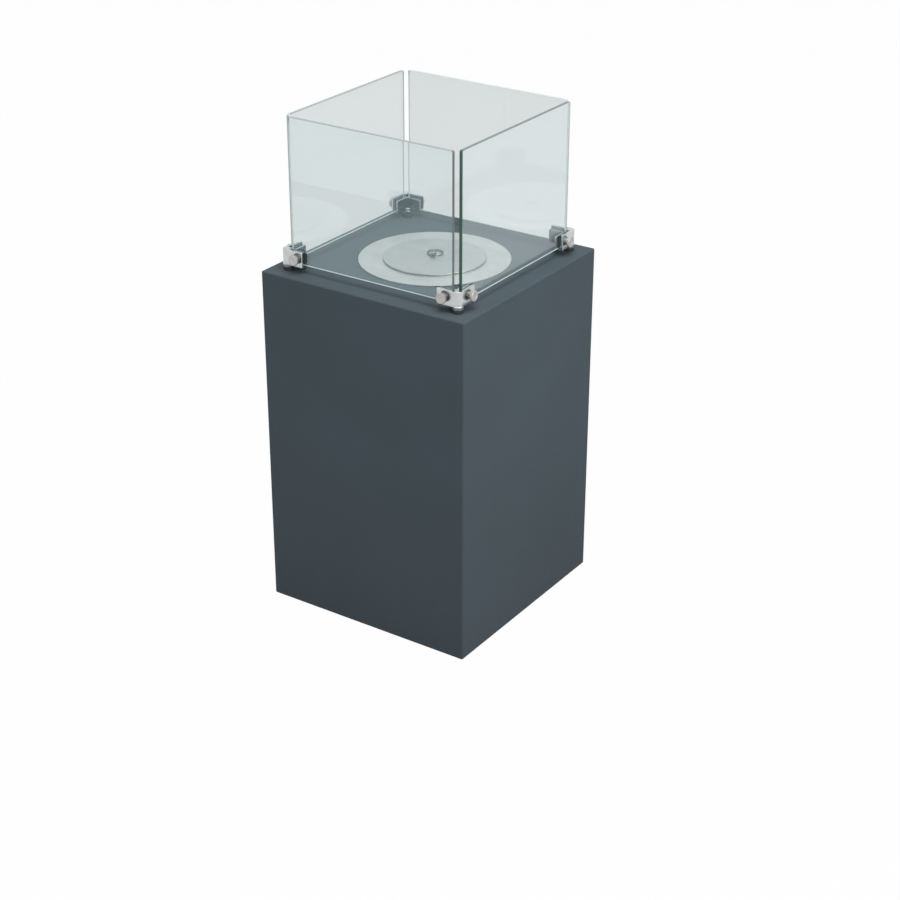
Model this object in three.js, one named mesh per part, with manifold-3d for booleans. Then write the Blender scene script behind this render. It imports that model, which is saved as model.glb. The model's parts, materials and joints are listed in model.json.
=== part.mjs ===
// Bioethanol fireplace: a square cast pedestal carries a drop-in steel burner with a lid,
// and four glass panes stood in four corner clamps with knurled thumbscrews.
// Millimetres, +Z up. The origin is on the floor, under the middle of the pedestal.
import * as THREE from "three";
import { mergeVertices } from "three/addons/utils/BufferGeometryUtils.js";
import Module from "manifold-3d";

const wasm = await Module();
wasm.setup();

// ---------------------------------------------------------------- driving dimensions

// Air between two pieces that touch, and round a shank in its hole.
const fitGap = 0.3;

// Pedestal: a hollow casting, open below, with rounded edges.
const pedestalWidth = 350; // left to right
const pedestalDepth = 350; // front to back
const pedestalHeight = 534.5;
const pedestalWall = 16;
const pedestalTopThickness = 20;
const pedestalCornerRadius = 2.5; // upright edges
const pedestalEdgeRadius = 2.2; // top and bottom edges
const cavityCornerRadius = 20;

// Rubber glides, let into the pedestal's underside.
const glideDiameter = 15;
const glideThickness = 3.5;
const glideProud = 1;
const glideInset = 12.5; // from the pedestal's faces to the glide's centre

// Glass panes.
const glassSetback = 27.5; // from the pedestal's faces to the glass's outer faces
const paneThickness = 5;
const paneHeight = 215.5;
const paneEdgeRadius = 0.6;
const paneCornerRadius = 2.5;
const cornerOpening = 9.3; // each pane stops this far short of the outer corner

// Corner clamps. Distances along a pane start at the glass's outer corner.
const clampStandoff = 9.5; // from the pedestal's top to the clamp's underside
const clampFloorThickness = 2;
const wingThickness = 4.5;
const wingHeight = 23;
const wingReach = 31.5;
const clampCornerRadius = 7.5;
const innerWallThickness = 3;
const innerWallHeight = 20;
const innerWallReach = 33.5;
const footDiameter = 16; // under the clamp's rounded corner
const footRubberDiameter = 15;
const footRubberThickness = 4.4;
const bossDiameter = 14; // round the fixing screw

// Rubber strips between the clamp and the glass.
const outerStripThickness = 1.6;
const outerStripLift = 3; // above the clamp's floor
const outerStripProud = 3; // past the wing's end
const innerStripThickness = 1;
const innerStripLift = 3;
const innerStripShort = 0.5; // of the inner wall's end

// Thumbscrews and their pressure pads.
const thumbReach = 20; // along the pane
const thumbHeight = 11.8; // above the clamp's underside
const thumbHeadDiameter = 16;
const thumbHeadThickness = 3.6;
const thumbHeadStand = 7.6; // from the wing to the head's outer face
const thumbHeadChamfer = 0.5;
const thumbCollarDiameter = 11;
const thumbThreadDiameter = 6;
const padDiameter = 12;
const padTravel = 2;
const padRecessClearance = 0.2; // behind the pad when its screw is fully loosened
const padChamfer = 0.25;

// Screws and nuts that hold the clamps down.
const fixingDiameter = 5;
const fixingHeadDiameter = 9;
const fixingHeadHeight = 3.6;
const fixingHeadChamfer = 0.8;
const fixingHeadClearance = 0.4; // from the inner wall to the head
const fixingTabMargin = 2.6; // of clamp floor round the head
const fixingTail = 2; // thread below the nut
const nutAcrossFlats = 8;
const nutHeight = 4;
const nutFlangeDiameter = 11.5;
const nutFlangeThickness = 1.2;

// Burner: a round can hung by its flange in the pedestal's cut-out, off the middle.
const burnerRight = 3;
const burnerBack = 5.5;
const canDiameter = 200;
const canDepth = 80; // below the flange
const canWall = 1.2;
const canFloorBend = 4;
const flangeOverhang = 10; // past the can's side
const flangeThickness = 2;
const flangeEdgeChamfer = 0.4;
const mouthDiameter = 140;
const cutoutClearance = 3; // round the can
const woolHeight = 50;
const woolSoftEdge = 3.5;
const canInnerClearance = 0.6; // round the wool and the screen
const screenThickness = 1.2;
const screenHoleDiameter = 12;
const screenPitch = 24;
const screenRim = 8;

// Lid with a ring on a bent-strip clip.
const lidOverlap = 4; // past the mouth's edge
const lidThickness = 2.4;
const lidEdgeRadius = 0.5;
const lidGuideHeight = 3.5; // a ring under the lid that drops into the mouth
const lidGuideThickness = 1.5;
const lidGuideClearance = 1.5;
const handleTurn = 21; // degrees from the back towards the left
const ringDiameter = 25;
const ringWire = 2.2;
const clipWidth = 6;
const clipThickness = 1.2;
const clipHeight = 6.8;
const clipFoot = 4.5;
const clipSideClearance = 0.75; // from the ring's wire to the clip's sides

// Facets round a full turn.
const largeFacets = 64;
const smallFacets = 16;
const tinyFacets = 12;
const screenHoleFacets = 8;
const wireFacets = 8;
const clampCornerSteps = 8; // round the clamp's quarter turn

// How far a cut runs past the faces it opens, and how deep joined shapes share material.
const cutOvershoot = 1;
const joinOverlap = 0.5;

// ---------------------------------------------------------------- derived dimensions

const pedestalTop = glideProud + pedestalHeight;
const glassHalfWidth = pedestalWidth / 2 - glassSetback;
const glassHalfDepth = pedestalDepth / 2 - glassSetback;

// Distances outward from the glass's outer face are positive.
const padInner = fitGap;
const stripOuter = fitGap + outerStripThickness;
const wingInner = stripOuter + fitGap;
const wingOuter = wingInner + wingThickness;
const thumbHeadOuter = wingOuter + thumbHeadStand;

// Distances inward from the glass's outer face are positive.
const innerStripNear = paneThickness + fitGap;
const innerStripFar = innerStripNear + innerStripThickness;
const postInner = innerStripNear - fitGap;
const innerWallNear = innerStripFar + fitGap;
const innerWallFar = innerWallNear + innerWallThickness;

// Heights above the pedestal's top.
const clampFloorTop = clampStandoff + clampFloorThickness;
const wingTop = clampStandoff + wingHeight;
const innerWallTop = clampStandoff + innerWallHeight;
const paneBottom = clampFloorTop + fitGap;
const thumbAxisHeight = clampStandoff + thumbHeight;
const padRecessDepth = padTravel + padRecessClearance;

const fixingInset = innerWallFar + fixingHeadClearance + fixingHeadDiameter / 2;
const footInset = clampCornerRadius - wingOuter;
const footBottom = fitGap + footRubberThickness + fitGap;
const nutTop = -pedestalTopThickness - fitGap;

const flangeBottom = pedestalTop + fitGap;
const flangeTop = flangeBottom + flangeThickness;
const flangeDiameter = canDiameter + 2 * flangeOverhang;
const canFloor = flangeBottom - canDepth + canWall;
const woolTop = canFloor + fitGap + woolHeight;
const lidDiameter = mouthDiameter + 2 * lidOverlap;
const lidBottom = flangeTop + fitGap;
const lidTop = lidBottom + lidThickness;

// ---------------------------------------------------------------- materials

const makeMaterial = (color, roughness, metalness) => () =>
  new THREE.MeshStandardMaterial({ color, roughness, metalness });

const castConcrete = makeMaterial(0x4a525a, 0.85, 0);
const blackRubber = makeMaterial(0x1c2223, 0.8, 0);
const satinSteel = makeMaterial(0xc4c8c8, 0.35, 1);
const brightSteel = makeMaterial(0xcfd2d2, 0.25, 1);
const zincSteel = makeMaterial(0xa7a9a8, 0.4, 1);
const ceramicWool = makeMaterial(0xe9e6dd, 0.95, 0);
const clearGlass = () =>
  new THREE.MeshStandardMaterial({
    color: 0xd6e4e0,
    roughness: 0.05,
    metalness: 0,
    transparent: true,
    opacity: 0.3,
  });

// ---------------------------------------------------------------- shape helpers

const object = new THREE.Group();

function addMesh(parent, name, geometry, material) {
  const mesh = new THREE.Mesh(geometry, material());
  mesh.name = name;
  parent.add(mesh);
  return mesh;
}

function addGroup(parent, x, y, z, turn = 0) {
  const group = new THREE.Group();
  group.position.set(x, y, z);
  group.rotation.z = turn;
  parent.add(group);
  return group;
}

// A closed geometry as a solid that can be cut and joined.
function solidOf(geometry) {
  const bare = geometry.clone();
  bare.deleteAttribute("normal");
  bare.deleteAttribute("uv");
  const merged = mergeVertices(bare, 1e-4);
  return new wasm.Manifold(
    new wasm.Mesh({
      numProp: 3,
      vertProperties: new Float32Array(merged.attributes.position.array),
      triVerts: new Uint32Array(merged.index.array),
    }),
  );
}

function geometryOf(solid) {
  const mesh = solid.getMesh();
  const geometry = new THREE.BufferGeometry();
  const positions = new Float32Array(mesh.vertProperties);
  geometry.setAttribute("position", new THREE.BufferAttribute(positions, 3));
  geometry.setIndex(new THREE.BufferAttribute(new Uint32Array(mesh.triVerts), 1));
  geometry.computeVertexNormals();
  return geometry;
}

const join = (...geometries) => geometries.map(solidOf).reduce((sum, next) => sum.add(next));

const cut = (solid, ...geometries) =>
  geometries.map(solidOf).reduce((rest, next) => rest.subtract(next), solid);

// A plan outline pulled straight up from one height to another.
function pull(shape, bottom, top, curveSegments = 3) {
  const geometry = new THREE.ExtrudeGeometry(shape, {
    depth: top - bottom,
    bevelEnabled: false,
    curveSegments,
  });
  return geometry.translate(0, 0, bottom);
}

// The same, with its top and bottom edges rounded inside the outline.
function pullRounded(shape, bottom, top, radius, bevelSegments, curveSegments = 3) {
  const geometry = new THREE.ExtrudeGeometry(shape, {
    depth: top - bottom - 2 * radius,
    bevelEnabled: true,
    bevelThickness: radius,
    bevelSize: radius,
    bevelOffset: -radius,
    bevelSegments,
    curveSegments,
  });
  return geometry.translate(0, 0, bottom + radius);
}

// A round bar along Z from one height to another.
function bar(diameter, bottom, top, x = 0, y = 0, facets = smallFacets) {
  const geometry = new THREE.CylinderGeometry(diameter / 2, diameter / 2, top - bottom, facets);
  geometry.rotateX(Math.PI / 2);
  return geometry.translate(x, y, (top + bottom) / 2);
}

// A profile of [radius, height] points turned round Z.
function turned(points, facets) {
  const profile = points.map(([radius, height]) => new THREE.Vector2(radius, height));
  return new THREE.LatheGeometry(profile, facets).rotateX(Math.PI / 2);
}

function roundedRectangle(left, bottom, right, top, radius) {
  const shape = new THREE.Shape();
  shape.moveTo(left + radius, bottom);
  shape.lineTo(right - radius, bottom);
  shape.absarc(right - radius, bottom + radius, radius, -Math.PI / 2, 0);
  shape.lineTo(right, top - radius);
  shape.absarc(right - radius, top - radius, radius, 0, Math.PI / 2);
  shape.lineTo(left + radius, top);
  shape.absarc(left + radius, top - radius, radius, Math.PI / 2, Math.PI);
  shape.lineTo(left, bottom + radius);
  shape.absarc(left + radius, bottom + radius, radius, Math.PI, 1.5 * Math.PI);
  shape.closePath();
  return shape;
}

// The corners of an outline round a circle, as many as facets says.
function circlePoints(x, y, radius, facets) {
  const points = [];
  for (let facet = 0; facet < facets; facet += 1) {
    const angle = (facet / facets) * 2 * Math.PI;
    const point = new THREE.Vector2(x + radius * Math.cos(angle), y + radius * Math.sin(angle));
    points.push(point);
  }
  return points;
}

const centredRectangle = (width, depth, radius) =>
  roundedRectangle(-width / 2, -depth / 2, width / 2, depth / 2, radius);

// ---------------------------------------------------------------- corners and sides

// A corner's own frame has its origin on the pedestal's top, under the glass's outer
// corner. The glass lies towards -X and +Y there, and each corner is turned into place.
const corners = [
  { name: "front_right", sideX: 1, sideY: -1, turn: 0 },
  { name: "back_right", sideX: 1, sideY: 1, turn: Math.PI / 2 },
  { name: "back_left", sideX: -1, sideY: 1, turn: Math.PI },
  { name: "front_left", sideX: -1, sideY: -1, turn: -Math.PI / 2 },
];

// A clamp's two wings. A wing's own frame is the corner's, turned so that +Y points
// outward from its pane, which then runs towards +X or -X, as along says.
const wings = [
  { name: "a", turn: Math.PI, along: 1 },
  { name: "b", turn: -Math.PI / 2, along: -1 },
];

// Each pane's own frame has its outer face at Y = 0, facing -Y.
const sides = [
  { name: "front", halfSpan: glassHalfWidth, distance: glassHalfDepth, turn: 0 },
  { name: "right", halfSpan: glassHalfDepth, distance: glassHalfWidth, turn: Math.PI / 2 },
  { name: "back", halfSpan: glassHalfWidth, distance: glassHalfDepth, turn: Math.PI },
  { name: "left", halfSpan: glassHalfDepth, distance: glassHalfWidth, turn: -Math.PI / 2 },
];

const cornerPlace = (corner, inset) => [
  corner.sideX * (glassHalfWidth - inset),
  corner.sideY * (glassHalfDepth - inset),
];

const glidePlace = (corner) => [
  corner.sideX * (pedestalWidth / 2 - glideInset),
  corner.sideY * (pedestalDepth / 2 - glideInset),
];

// ---------------------------------------------------------------- pedestal

function buildPedestal() {
  const body = pullRounded(
    centredRectangle(pedestalWidth, pedestalDepth, pedestalCornerRadius),
    glideProud,
    pedestalTop,
    pedestalEdgeRadius,
    3,
  );
  const cavity = pull(
    centredRectangle(
      pedestalWidth - 2 * pedestalWall,
      pedestalDepth - 2 * pedestalWall,
      cavityCornerRadius,
    ),
    -cutOvershoot,
    pedestalTop - pedestalTopThickness,
  );
  const cutout = bar(
    canDiameter + 2 * cutoutClearance,
    pedestalTop - pedestalTopThickness - cutOvershoot,
    pedestalTop + cutOvershoot,
    burnerRight,
    burnerBack,
    largeFacets,
  );
  const screwHoles = corners.map((corner) =>
    bar(
      fixingDiameter + 2 * fitGap,
      pedestalTop - pedestalTopThickness - cutOvershoot,
      pedestalTop + cutOvershoot,
      ...cornerPlace(corner, fixingInset),
    ),
  );
  const glidePockets = corners.map((corner) =>
    bar(
      glideDiameter + 2 * fitGap,
      -cutOvershoot,
      glideThickness + fitGap,
      ...glidePlace(corner),
    ),
  );
  const solid = cut(solidOf(body), cavity, cutout, ...screwHoles, ...glidePockets);
  addMesh(object, "pedestal_shell", geometryOf(solid), castConcrete);
}

function buildGlides() {
  for (const corner of corners) {
    const glide = addMesh(
      object,
      "glide_" + corner.name,
      bar(glideDiameter, 0, glideThickness),
      blackRubber,
    );
    const [x, y] = glidePlace(corner);
    glide.position.set(x, y, 0);
  }
}

// ---------------------------------------------------------------- glass

function buildPanes() {
  for (const side of sides) {
    const halfLength = side.halfSpan - cornerOpening;
    const outline = roundedRectangle(-halfLength, 0, halfLength, paneHeight, paneCornerRadius);
    const geometry = pullRounded(outline, 0, paneThickness, paneEdgeRadius, 2, 2);
    geometry.rotateX(Math.PI / 2);
    geometry.translate(0, -side.distance + paneThickness, pedestalTop + paneBottom);
    const frame = addGroup(object, 0, 0, 0, side.turn);
    addMesh(frame, side.name + "_glass_pane", geometry, clearGlass);
  }
}

// ---------------------------------------------------------------- clamps

// The clamp's plans are drawn with both axes pointing inward from the glass's corner.
function plan(points) {
  return new THREE.Shape(points.map(([u, v]) => new THREE.Vector2(-u, v)));
}

// The rounded outer corner of a clamp's plan, from the second wing to the first.
function outerCorner() {
  const points = [];
  for (let step = 0; step <= clampCornerSteps; step += 1) {
    const angle = Math.PI + (step / clampCornerSteps) * (Math.PI / 2);
    const u = footInset + clampCornerRadius * Math.cos(angle);
    const v = footInset + clampCornerRadius * Math.sin(angle);
    points.push([u, v]);
  }
  return points;
}

const wingPlan = () =>
  plan([
    ...outerCorner(),
    [wingReach, -wingOuter],
    [wingReach, -wingInner],
    [postInner, -wingInner],
    [postInner, postInner],
    [-wingInner, postInner],
    [-wingInner, wingReach],
    [-wingOuter, wingReach],
  ]);

const floorPlan = () =>
  plan([
    ...outerCorner(),
    [wingReach, -wingOuter],
    [wingReach, innerWallFar],
    [innerWallFar, innerWallFar],
    [innerWallFar, wingReach],
    [-wingOuter, wingReach],
  ]);

// An L of two legs, between two distances inward from the glass's outer faces.
const legPlan = (near, far, reach) =>
  plan([
    [near, near],
    [reach, near],
    [reach, far],
    [far, far],
    [far, reach],
    [near, reach],
  ]);

// Turns a bar that stands on Z so that it points outward from a wing's pane.
function pointOutward(geometry, wing) {
  geometry.rotateX(-Math.PI / 2);
  geometry.translate(wing.along * thumbReach, 0, thumbAxisHeight);
  return geometry.rotateZ(wing.turn);
}

function buildClamp(frame, corner) {
  const tabDiameter = fixingHeadDiameter + 2 * fixingTabMargin;
  const solid = join(
    pull(wingPlan(), clampStandoff, wingTop),
    pull(floorPlan(), clampStandoff, clampFloorTop),
    pull(legPlan(innerWallNear, innerWallFar, innerWallReach), clampStandoff, innerWallTop),
    bar(tabDiameter, clampStandoff, clampFloorTop, -fixingInset, fixingInset),
    bar(bossDiameter, fitGap, clampStandoff + joinOverlap, -fixingInset, fixingInset),
    bar(footDiameter, footBottom, clampStandoff + joinOverlap, -footInset, footInset),
  );
  const fixingHole = bar(
    fixingDiameter + 2 * fitGap,
    -cutOvershoot,
    clampFloorTop + cutOvershoot,
    -fixingInset,
    fixingInset,
    tinyFacets,
  );
  const screwHoles = wings.map((wing) =>
    pointOutward(
      bar(thumbThreadDiameter + 2 * fitGap, 0, wingOuter + cutOvershoot, 0, 0, tinyFacets),
      wing,
    ),
  );
  const padRecesses = wings.map((wing) =>
    pointOutward(
      bar(padDiameter + 2 * fitGap, stripOuter, wingInner + padRecessDepth),
      wing,
    ),
  );
  const finished = cut(solid, fixingHole, ...screwHoles, ...padRecesses);
  addMesh(frame, "clamp_" + corner.name, geometryOf(finished), satinSteel);
}

function buildFootRubber(frame, corner) {
  const geometry = bar(
    footRubberDiameter,
    fitGap,
    fitGap + footRubberThickness,
    -footInset,
    footInset,
  );
  addMesh(frame, "foot_rubber_" + corner.name, geometry, blackRubber);
}

function buildInnerStrip(frame, corner) {
  const geometry = pull(
    legPlan(innerStripNear, innerStripFar, innerWallReach - innerStripShort),
    clampFloorTop + innerStripLift,
    innerWallTop,
  );
  addMesh(frame, "inner_rubber_" + corner.name, geometry, blackRubber);
}

function buildOuterStrip(frame, name, wing) {
  const near = wing.along * cornerOpening;
  const far = wing.along * (wingReach + outerStripProud);
  const bottom = clampFloorTop + outerStripLift;
  const shape = new THREE.Shape([
    new THREE.Vector2(near, bottom),
    new THREE.Vector2(far, bottom),
    new THREE.Vector2(far, wingTop),
    new THREE.Vector2(near, wingTop),
  ]);
  const holeX = wing.along * thumbReach;
  const holeRadius = padDiameter / 2 + fitGap;
  const hole = circlePoints(holeX, thumbAxisHeight, holeRadius, smallFacets);
  shape.holes.push(new THREE.Path(hole));
  const geometry = pull(shape, 0, outerStripThickness);
  geometry.rotateX(Math.PI / 2);
  geometry.translate(0, stripOuter, 0);
  geometry.rotateZ(wing.turn);
  addMesh(frame, "outer_rubber_" + name, geometry, blackRubber);
}

function buildPad(frame, name, wing) {
  const radius = padDiameter / 2;
  const geometry = turned(
    [
      [0, padInner],
      [radius - padChamfer, padInner],
      [radius, padInner + padChamfer],
      [radius, stripOuter],
      [0, stripOuter],
    ],
    smallFacets,
  );
  addMesh(frame, "pressure_pad_" + name, pointOutward(geometry, wing), zincSteel);
}

function buildThumbscrew(frame, name, wing) {
  const thread = thumbThreadDiameter / 2;
  const collar = thumbCollarDiameter / 2;
  const head = thumbHeadDiameter / 2;
  const headInner = thumbHeadOuter - thumbHeadThickness;
  const geometry = turned(
    [
      [0, wingInner],
      [thread, wingInner],
      [thread, wingOuter + fitGap],
      [collar, wingOuter + fitGap],
      [collar, headInner],
      [head - thumbHeadChamfer, headInner],
      [head, headInner + thumbHeadChamfer],
      [head, thumbHeadOuter - thumbHeadChamfer],
      [head - thumbHeadChamfer, thumbHeadOuter],
      [0, thumbHeadOuter],
    ],
    smallFacets,
  );
  addMesh(frame, "thumbscrew_" + name, pointOutward(geometry, wing), brightSteel);
}

function buildFixing(frame, corner) {
  const shank = fixingDiameter / 2;
  const head = fixingHeadDiameter / 2;
  const seat = clampFloorTop + fitGap;
  const screw = turned(
    [
      [0, nutTop - nutHeight - fixingTail],
      [shank, nutTop - nutHeight - fixingTail],
      [shank, seat],
      [head, seat],
      [head, seat + fixingHeadHeight - fixingHeadChamfer],
      [head - fixingHeadChamfer, seat + fixingHeadHeight],
      [0, seat + fixingHeadHeight],
    ],
    smallFacets,
  );
  screw.translate(-fixingInset, fixingInset, 0);
  addMesh(frame, "fixing_screw_" + corner.name, screw, brightSteel);

  const acrossCorners = nutAcrossFlats / Math.cos(Math.PI / 6);
  const nut = join(
    bar(acrossCorners, nutTop - nutHeight, nutTop - nutFlangeThickness / 2, 0, 0, 6),
    bar(nutFlangeDiameter, nutTop - nutFlangeThickness, nutTop),
  );
  const bore = bar(
    fixingDiameter + 2 * fitGap,
    nutTop - nutHeight - cutOvershoot,
    nutTop + cutOvershoot,
  );
  const geometry = geometryOf(cut(nut, bore)).translate(-fixingInset, fixingInset, 0);
  addMesh(frame, "fixing_nut_" + corner.name, geometry, zincSteel);
}

function buildCorners() {
  for (const corner of corners) {
    const [x, y] = cornerPlace(corner, 0);
    const frame = addGroup(object, x, y, pedestalTop, corner.turn);
    buildClamp(frame, corner);
    buildFootRubber(frame, corner);
    buildInnerStrip(frame, corner);
    buildFixing(frame, corner);
    for (const wing of wings) {
      const name = corner.name + "_" + wing.name;
      buildOuterStrip(frame, name, wing);
      buildPad(frame, name, wing);
      buildThumbscrew(frame, name, wing);
    }
  }
}

// ---------------------------------------------------------------- burner

function buildBurnerCan(frame) {
  const flange = flangeDiameter / 2;
  const mouth = mouthDiameter / 2;
  const outside = canDiameter / 2;
  const inside = outside - canWall;
  const bottom = canFloor - canWall;
  const geometry = turned(
    [
      [0, bottom],
      [outside - canFloorBend, bottom],
      [outside, bottom + canFloorBend],
      [outside, flangeBottom],
      [flange - flangeEdgeChamfer, flangeBottom],
      [flange, flangeBottom + flangeEdgeChamfer],
      [flange, flangeTop - flangeEdgeChamfer],
      [flange - flangeEdgeChamfer, flangeTop],
      [mouth, flangeTop],
      [mouth, flangeBottom],
      [inside, flangeBottom],
      [inside, canFloor + canFloorBend - canWall],
      [inside - canFloorBend + canWall, canFloor],
      [0, canFloor],
    ],
    largeFacets,
  );
  addMesh(frame, "burner_can", geometry, satinSteel);
}

function buildWool(frame) {
  const radius = canDiameter / 2 - canWall - canInnerClearance;
  const geometry = turned(
    [
      [0, canFloor + fitGap],
      [radius - woolSoftEdge, canFloor + fitGap],
      [radius, canFloor + fitGap + woolSoftEdge],
      [radius, woolTop - woolSoftEdge],
      [radius - woolSoftEdge, woolTop],
      [0, woolTop],
    ],
    largeFacets / 2,
  );
  addMesh(frame, "ceramic_wool", geometry, ceramicWool);
}

function buildScreen(frame) {
  const radius = canDiameter / 2 - canWall - canInnerClearance;
  const shape = new THREE.Shape(circlePoints(0, 0, radius, largeFacets));
  const rowHeight = (screenPitch * Math.sqrt(3)) / 2;
  const rows = Math.floor(radius / rowHeight);
  for (let row = -rows; row <= rows; row += 1) {
    const shift = row % 2 === 0 ? 0 : screenPitch / 2;
    const columns = Math.ceil(radius / screenPitch);
    for (let column = -columns; column <= columns; column += 1) {
      const x = column * screenPitch + shift;
      const y = row * rowHeight;
      if (Math.hypot(x, y) + screenHoleDiameter / 2 > radius - screenRim) {
        continue;
      }
      const hole = circlePoints(x, y, screenHoleDiameter / 2, screenHoleFacets);
      shape.holes.push(new THREE.Path(hole));
    }
  }
  const bottom = woolTop + fitGap;
  const geometry = pull(shape, bottom, bottom + screenThickness);
  addMesh(frame, "wool_screen", geometry, satinSteel);
}

// ---------------------------------------------------------------- lid

function buildLid(frame) {
  const radius = lidDiameter / 2;
  const guideOuter = mouthDiameter / 2 - lidGuideClearance;
  const guideInner = guideOuter - lidGuideThickness;
  const geometry = turned(
    [
      [0, lidBottom],
      [guideInner, lidBottom],
      [guideInner, lidBottom - lidGuideHeight],
      [guideOuter, lidBottom - lidGuideHeight],
      [guideOuter, lidBottom],
      [radius - lidEdgeRadius, lidBottom],
      [radius, lidBottom + lidEdgeRadius],
      [radius, lidTop - lidEdgeRadius],
      [radius - lidEdgeRadius, lidTop],
      [0, lidTop],
    ],
    largeFacets,
  );
  addMesh(frame, "burner_lid", geometry, satinSteel);
}

// The clip's outline: two feet and an arch between them, as bent strip.
function clipOutline() {
  const inner = ringWire / 2 + clipSideClearance;
  const outer = inner + clipThickness;
  const base = fitGap;
  const shape = new THREE.Shape();
  shape.moveTo(-outer - clipFoot, base);
  shape.lineTo(-inner, base);
  shape.lineTo(-inner, clipHeight - outer);
  shape.absarc(0, clipHeight - outer, inner, Math.PI, 0, true);
  shape.lineTo(inner, base);
  shape.lineTo(outer + clipFoot, base);
  shape.lineTo(outer + clipFoot, base + clipThickness);
  shape.lineTo(outer, base + clipThickness);
  shape.lineTo(outer, clipHeight - outer);
  shape.absarc(0, clipHeight - outer, outer, 0, Math.PI);
  shape.lineTo(-outer, base + clipThickness);
  shape.lineTo(-outer - clipFoot, base + clipThickness);
  shape.closePath();
  return shape;
}

// The handle's own frame is on the lid's middle, and the ring lies towards its +Y.
function buildHandle(burner) {
  const frame = addGroup(burner, 0, 0, lidTop, THREE.MathUtils.degToRad(handleTurn));
  const clip = pull(clipOutline(), -clipWidth / 2, clipWidth / 2, 8);
  clip.rotateX(Math.PI / 2);
  clip.rotateZ(Math.PI / 2);
  addMesh(frame, "handle_clip", clip, satinSteel);

  const ringRadius = (ringDiameter - ringWire) / 2;
  const ring = new THREE.TorusGeometry(ringRadius, ringWire / 2, wireFacets, largeFacets / 2);
  ring.translate(0, ringRadius, fitGap + ringWire / 2);
  addMesh(frame, "lid_ring", ring, brightSteel);
}

function buildBurner() {
  const frame = addGroup(object, burnerRight, burnerBack, 0);
  buildBurnerCan(frame);
  buildWool(frame);
  buildScreen(frame);
  buildLid(frame);
  buildHandle(frame);
}

buildPedestal();
buildGlides();
buildPanes();
buildCorners();
buildBurner();

export default object;
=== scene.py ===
"""Bioethanol fireplace: cast pedestal, drop-in burner and clamped glass wind guard."""
import json
import math
import random

import bmesh
import bpy
from mathutils import Euler, Matrix, Vector

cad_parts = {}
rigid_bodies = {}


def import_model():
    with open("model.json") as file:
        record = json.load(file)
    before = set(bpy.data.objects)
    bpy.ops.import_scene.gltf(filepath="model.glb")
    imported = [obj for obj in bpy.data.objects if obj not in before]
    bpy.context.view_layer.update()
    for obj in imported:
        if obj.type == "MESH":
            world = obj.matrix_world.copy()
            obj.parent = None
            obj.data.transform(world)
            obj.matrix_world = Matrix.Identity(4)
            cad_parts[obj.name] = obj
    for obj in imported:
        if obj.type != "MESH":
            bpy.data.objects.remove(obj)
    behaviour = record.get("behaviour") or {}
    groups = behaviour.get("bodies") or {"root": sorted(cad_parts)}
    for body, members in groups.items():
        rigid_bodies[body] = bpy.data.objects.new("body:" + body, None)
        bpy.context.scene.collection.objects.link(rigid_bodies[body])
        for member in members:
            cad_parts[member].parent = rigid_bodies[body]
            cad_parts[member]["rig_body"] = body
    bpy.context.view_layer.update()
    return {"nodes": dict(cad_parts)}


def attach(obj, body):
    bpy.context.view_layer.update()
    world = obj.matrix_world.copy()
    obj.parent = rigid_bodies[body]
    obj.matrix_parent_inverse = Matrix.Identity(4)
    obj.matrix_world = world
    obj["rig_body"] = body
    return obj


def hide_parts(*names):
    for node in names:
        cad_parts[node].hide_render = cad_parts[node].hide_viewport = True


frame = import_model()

# ---------------------------------------------------------------- sizes, in millimetres

FIT = 0.3  # air between neighbours

PEDESTAL = 350.0
PEDESTAL_BASE = 1.0
PEDESTAL_TOP = 535.5
PEDESTAL_WALL = 16.0
PEDESTAL_ROOF = 20.0
PEDESTAL_CORNER = 2.5
PEDESTAL_EDGE = 2.2
CAVITY_CORNER = 20.0
CAVITY_EDGE = 5.0
CAVITY_START = -20.0  # where its cutter begins, below the pedestal
CUTOUT_RADIUS = 103.0

GLIDE_RADIUS = 7.5
GLIDE_HEIGHT = 3.5
GLIDE_PLACE = 162.5

GLASS = 147.5  # from the middle to the glass's outer faces
PANE_THICKNESS = 5.0
PANE_HEIGHT = 215.5
PANE_BASE = 11.8  # above the pedestal's top
PANE_CORNER = 2.5
PANE_EDGE = 0.6
CORNER_OPENING = 9.3

CLAMP_BASE = 9.5
CLAMP_FLOOR = 11.5
WING_INNER = 2.2
WING_OUTER = 6.7
WING_TOP = 32.5
WING_REACH = 31.5
CLAMP_CORNER = 7.5
POST_INNER = 5.0
WALL_NEAR = 6.6
WALL_FAR = 9.6
WALL_REACH = 33.5
WALL_TOP = 29.5
FOOT_RADIUS = 8.0
FOOT_PLACE = 0.8
FOOT_BASE = 5.0
FOOT_RUBBER_RADIUS = 7.5
FOOT_RUBBER_TOP = 4.7
BOSS_RADIUS = 7.0
TAB_RADIUS = 7.1

STRIP_OUTER = 1.9
STRIP_BASE = 14.5
STRIP_REACH = 34.5
INNER_STRIP_NEAR = 5.3
INNER_STRIP_FAR = 6.3
INNER_STRIP_REACH = 33.0
INNER_STRIP_BASE = 14.5
INNER_STRIP_TOP = 29.5

THUMB_REACH = 20.0
THUMB_HEIGHT = 21.3
HEAD_RADIUS = 8.0
HEAD_INNER = 10.7
HEAD_OUTER = 14.3
COLLAR_RADIUS = 5.5
THREAD_RADIUS = 3.0
THUMB_PITCH = 1.0
KNURL_RIBS = 48
KNURL_DEPTH = 0.32
THREAD_DEPTH = 0.35
PAD_RADIUS = 6.0
RECESS_DEPTH = 2.2

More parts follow.
